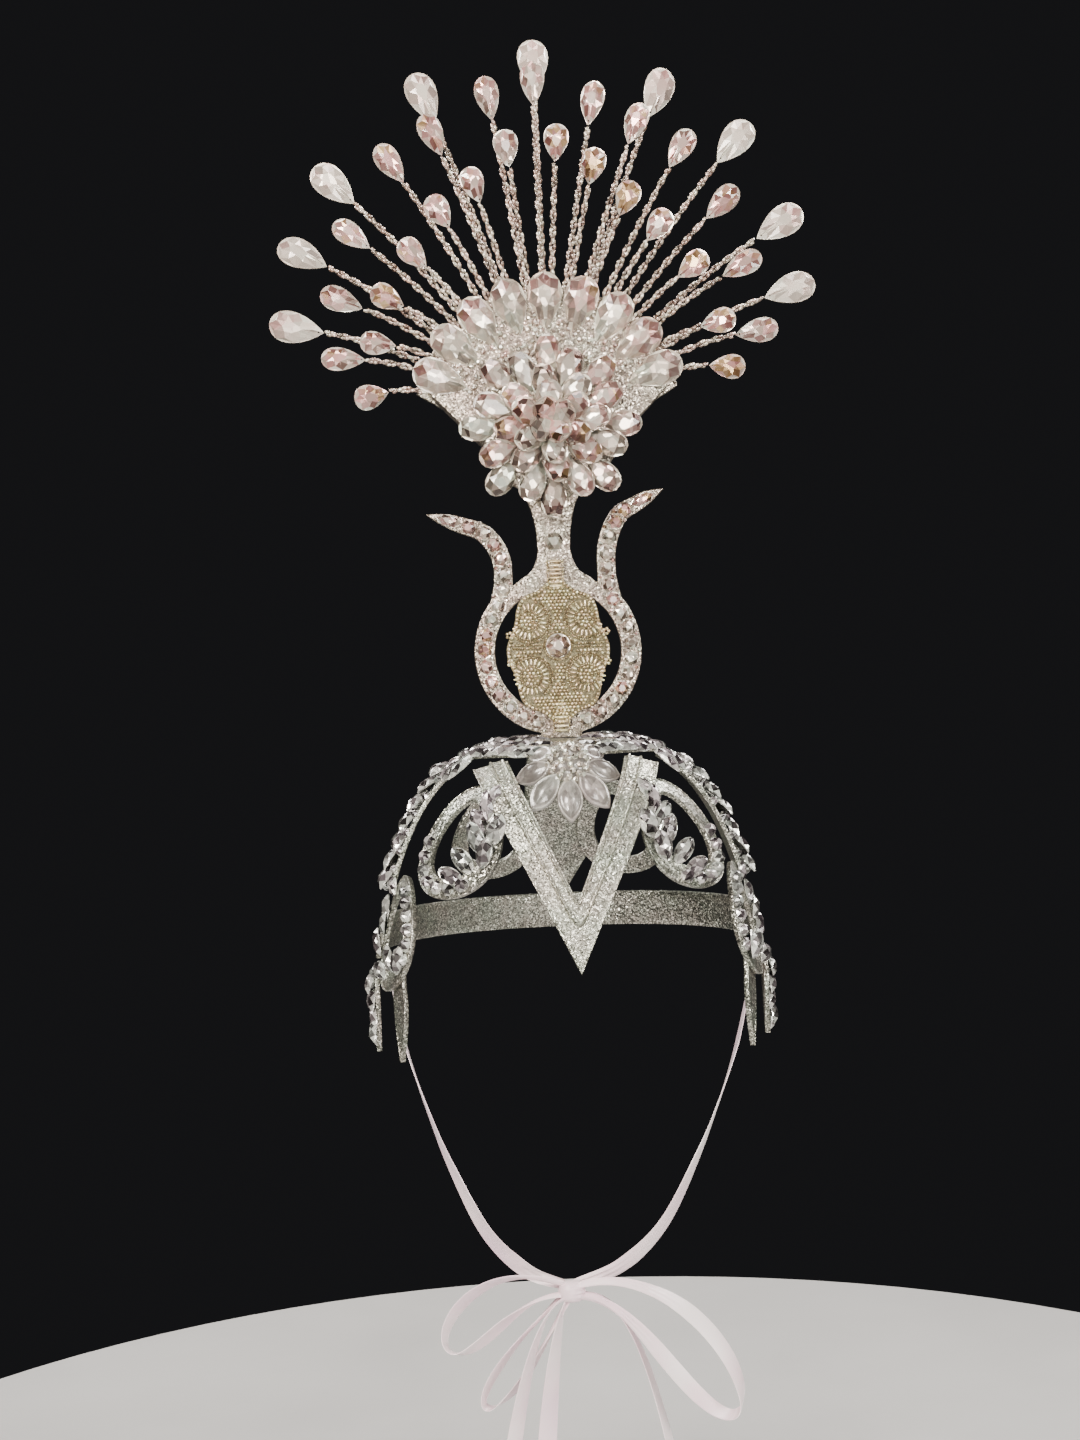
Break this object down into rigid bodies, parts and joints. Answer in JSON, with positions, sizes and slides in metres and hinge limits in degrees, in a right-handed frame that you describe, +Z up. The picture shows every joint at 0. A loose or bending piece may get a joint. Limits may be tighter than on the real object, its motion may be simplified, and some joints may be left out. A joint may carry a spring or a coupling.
{
  "type": "crystal sunburst carnival headdress with chin ribbon",
  "caption": "Open cap of silver glitter scrolls with a lyre-shaped crest, a fan of beaded sprays with teardrop stones and a satin ribbon bow under the chin.",
  "frame": {"origin": "top of the wearer's head, under the crown plate, where the head holds the cap (mount head_seat)", "axes": "+Z up, -Y the way the wearer faces, +X to the wearer's left"},
  "size_m": [0.272, 0.2142, 0.6987],
  "materials": {
    "silver_glitter": "craft foam with a dense silver glitter face",
    "clear_crystal": "clear cut acrylic stones with a faint rainbow coat and a mirrored back",
    "silver_beads": "silver-lined seed beads and clear cut drops",
    "champagne_beads": "sewn champagne-gold beads with small stones",
    "white_satin": "thin single-face satin ribbon, white with a pink cast"
  },
  "bodies": {
    "root": {"back_arm": "silver_glitter", "back_band": "silver_glitter", "back_loop_left": "silver_glitter", "back_loop_right": "silver_glitter", "bow": "white_satin", "crest_board": "silver_glitter", "crown_flower": "clear_crystal", "crown_plate": "silver_glitter", "fan_core": "silver_glitter", "fan_flower": "clear_crystal", "front_loop_left": "silver_glitter", "front_loop_right": "silver_glitter", "front_v": "silver_glitter", "inner_spray_1": "silver_beads", "inner_spray_10": "silver_beads", "inner_spray_11": "silver_beads", "inner_spray_12": "silver_beads", "inner_spray_13": "silver_beads", "inner_spray_14": "silver_beads", "inner_spray_2": "silver_beads", "inner_spray_3": "silver_beads", "inner_spray_4": "silver_beads", "inner_spray_5": "silver_beads", "inner_spray_6": "silver_beads", "inner_spray_7": "silver_beads", "inner_spray_8": "silver_beads", "inner_spray_9": "silver_beads", "leaf_front_left": "silver_glitter", "leaf_front_right": "silver_glitter", "leaf_rear_left": "silver_glitter", "leaf_rear_right": "silver_glitter", "medallion": "champagne_beads", "middle_spray_1": "silver_beads", "middle_spray_10": "silver_beads", "middle_spray_11": "silver_beads", "middle_spray_12": "silver_beads", "middle_spray_13": "silver_beads", "middle_spray_2": "silver_beads", "middle_spray_3": "silver_beads", "middle_spray_4": "silver_beads", "middle_spray_5": "silver_beads", "middle_spray_6": "silver_beads", "middle_spray_7": "silver_beads", "middle_spray_8": "silver_beads", "middle_spray_9": "silver_beads", "outer_spray_1": "silver_beads", "outer_spray_2": "silver_beads", "outer_spray_3": "silver_beads", "outer_spray_4": "silver_beads", "outer_spray_5": "silver_beads", "outer_spray_6": "silver_beads", "outer_spray_7": "silver_beads", "outer_spray_8": "silver_beads", "outer_spray_9": "silver_beads", "ribbon_left": "white_satin", "ribbon_right": "white_satin", "side_arm_left": "silver_glitter", "side_arm_right": "silver_glitter", "side_loop_left": "silver_glitter", "side_loop_right": "silver_glitter"}
  },
  "joints": []
}
